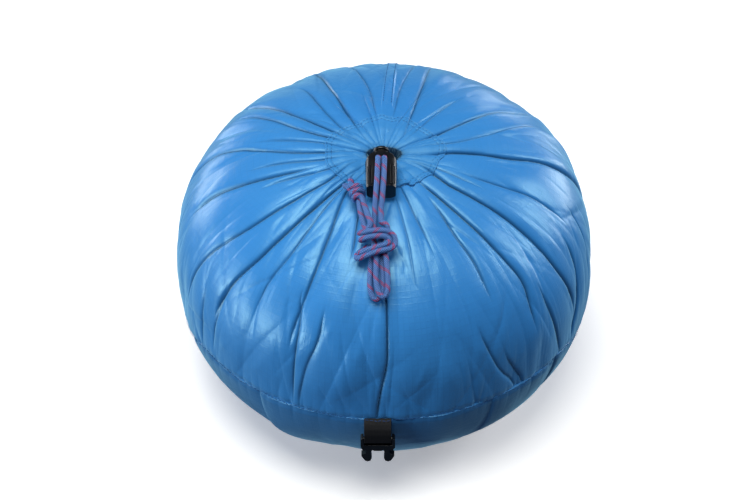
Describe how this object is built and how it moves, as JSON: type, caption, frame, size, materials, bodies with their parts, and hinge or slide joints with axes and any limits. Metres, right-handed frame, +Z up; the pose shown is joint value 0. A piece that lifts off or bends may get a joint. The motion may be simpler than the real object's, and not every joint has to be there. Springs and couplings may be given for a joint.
{
  "type": "stuffed drawcord sack",
  "caption": "Round stuffed nylon sack, cinched on top by a drawcord with a barrel cord lock and knotted ends, with half of a side-release buckle on a webbing tab at the base seam.",
  "frame": {"origin": "on the floor, under the middle of the sack's round base", "axes": "+Z up, -Y towards the front, where the buckle tab hangs; +X to the viewer's right"},
  "size_m": [0.33, 0.3369, 0.248],
  "materials": {
    "shell_fabric": "satin",
    "base_fabric": "satin",
    "tape": "matte",
    "cord": "matte",
    "lock_plastic": "gloss",
    "buckle_plastic": "satin",
    "webbing": "matte",
    "spring_steel": "satin",
    "filling": "matte"
  },
  "bodies": {
    "sack": {"body_shell": "shell_fabric", "drawcord_channel": "shell_fabric", "base_panel": "base_fabric", "base_seam_tape": "tape", "back_seam_tape": "tape", "packed_contents": "filling", "drawcord_loop": "cord", "cord_strand_left": "cord", "cord_strand_right": "cord", "cord_middle_knot": "cord", "cord_bight_under": "cord", "cord_bight_over": "cord", "cord_return_left": "cord", "cord_return_right": "cord", "cord_end_knot": "cord", "cord_tail_left": "cord", "cord_tail_right": "cord", "cord_lock_barrel": "lock_plastic", "cord_lock_spring": "spring_steel"},
    "plunger": {"cord_lock_plunger": "lock_plastic"},
    "webbing_tab": {"buckle_webbing": "webbing"},
    "buckle": {"buckle_frame": "buckle_plastic"},
    "left_prong": {"buckle_left_prong": "buckle_plastic"},
    "right_prong": {"buckle_right_prong": "buckle_plastic"}
  },
  "joints": [
    {"name": "lock_button_press", "type": "slide", "parent": "sack", "child": "plunger", "axis": [0, -0.9962, -0.0872], "range_m": [0, 0.0045], "stiffness_N_per_m": 400, "springref_m": -0.003, "deforming": ["cord_lock_spring"]},
    {"name": "tab_swing", "type": "hinge", "parent": "sack", "child": "webbing_tab", "pos_m": [-0.0045, -0.1686, 0.098], "axis": [-1, 0, 0], "range_deg": [-4, 110]},
    {"name": "buckle_swing", "type": "hinge", "parent": "webbing_tab", "child": "buckle", "pos_m": [-0.0045, -0.1686, 0.083], "axis": [-1, 0, 0], "range_deg": [-5, 75]},
    {"name": "left_prong_flex", "type": "hinge", "parent": "buckle", "child": "left_prong", "pos_m": [-0.0109, -0.1686, 0.0726], "axis": [0, -1, 0], "range_deg": [0, 9], "stiffness_Nm_per_rad": 0.3},
    {"name": "right_prong_flex", "type": "hinge", "parent": "buckle", "child": "right_prong", "pos_m": [0.0019, -0.1686, 0.0726], "axis": [0, 1, 0], "range_deg": [0, 9], "stiffness_Nm_per_rad": 0.3}
  ]
}
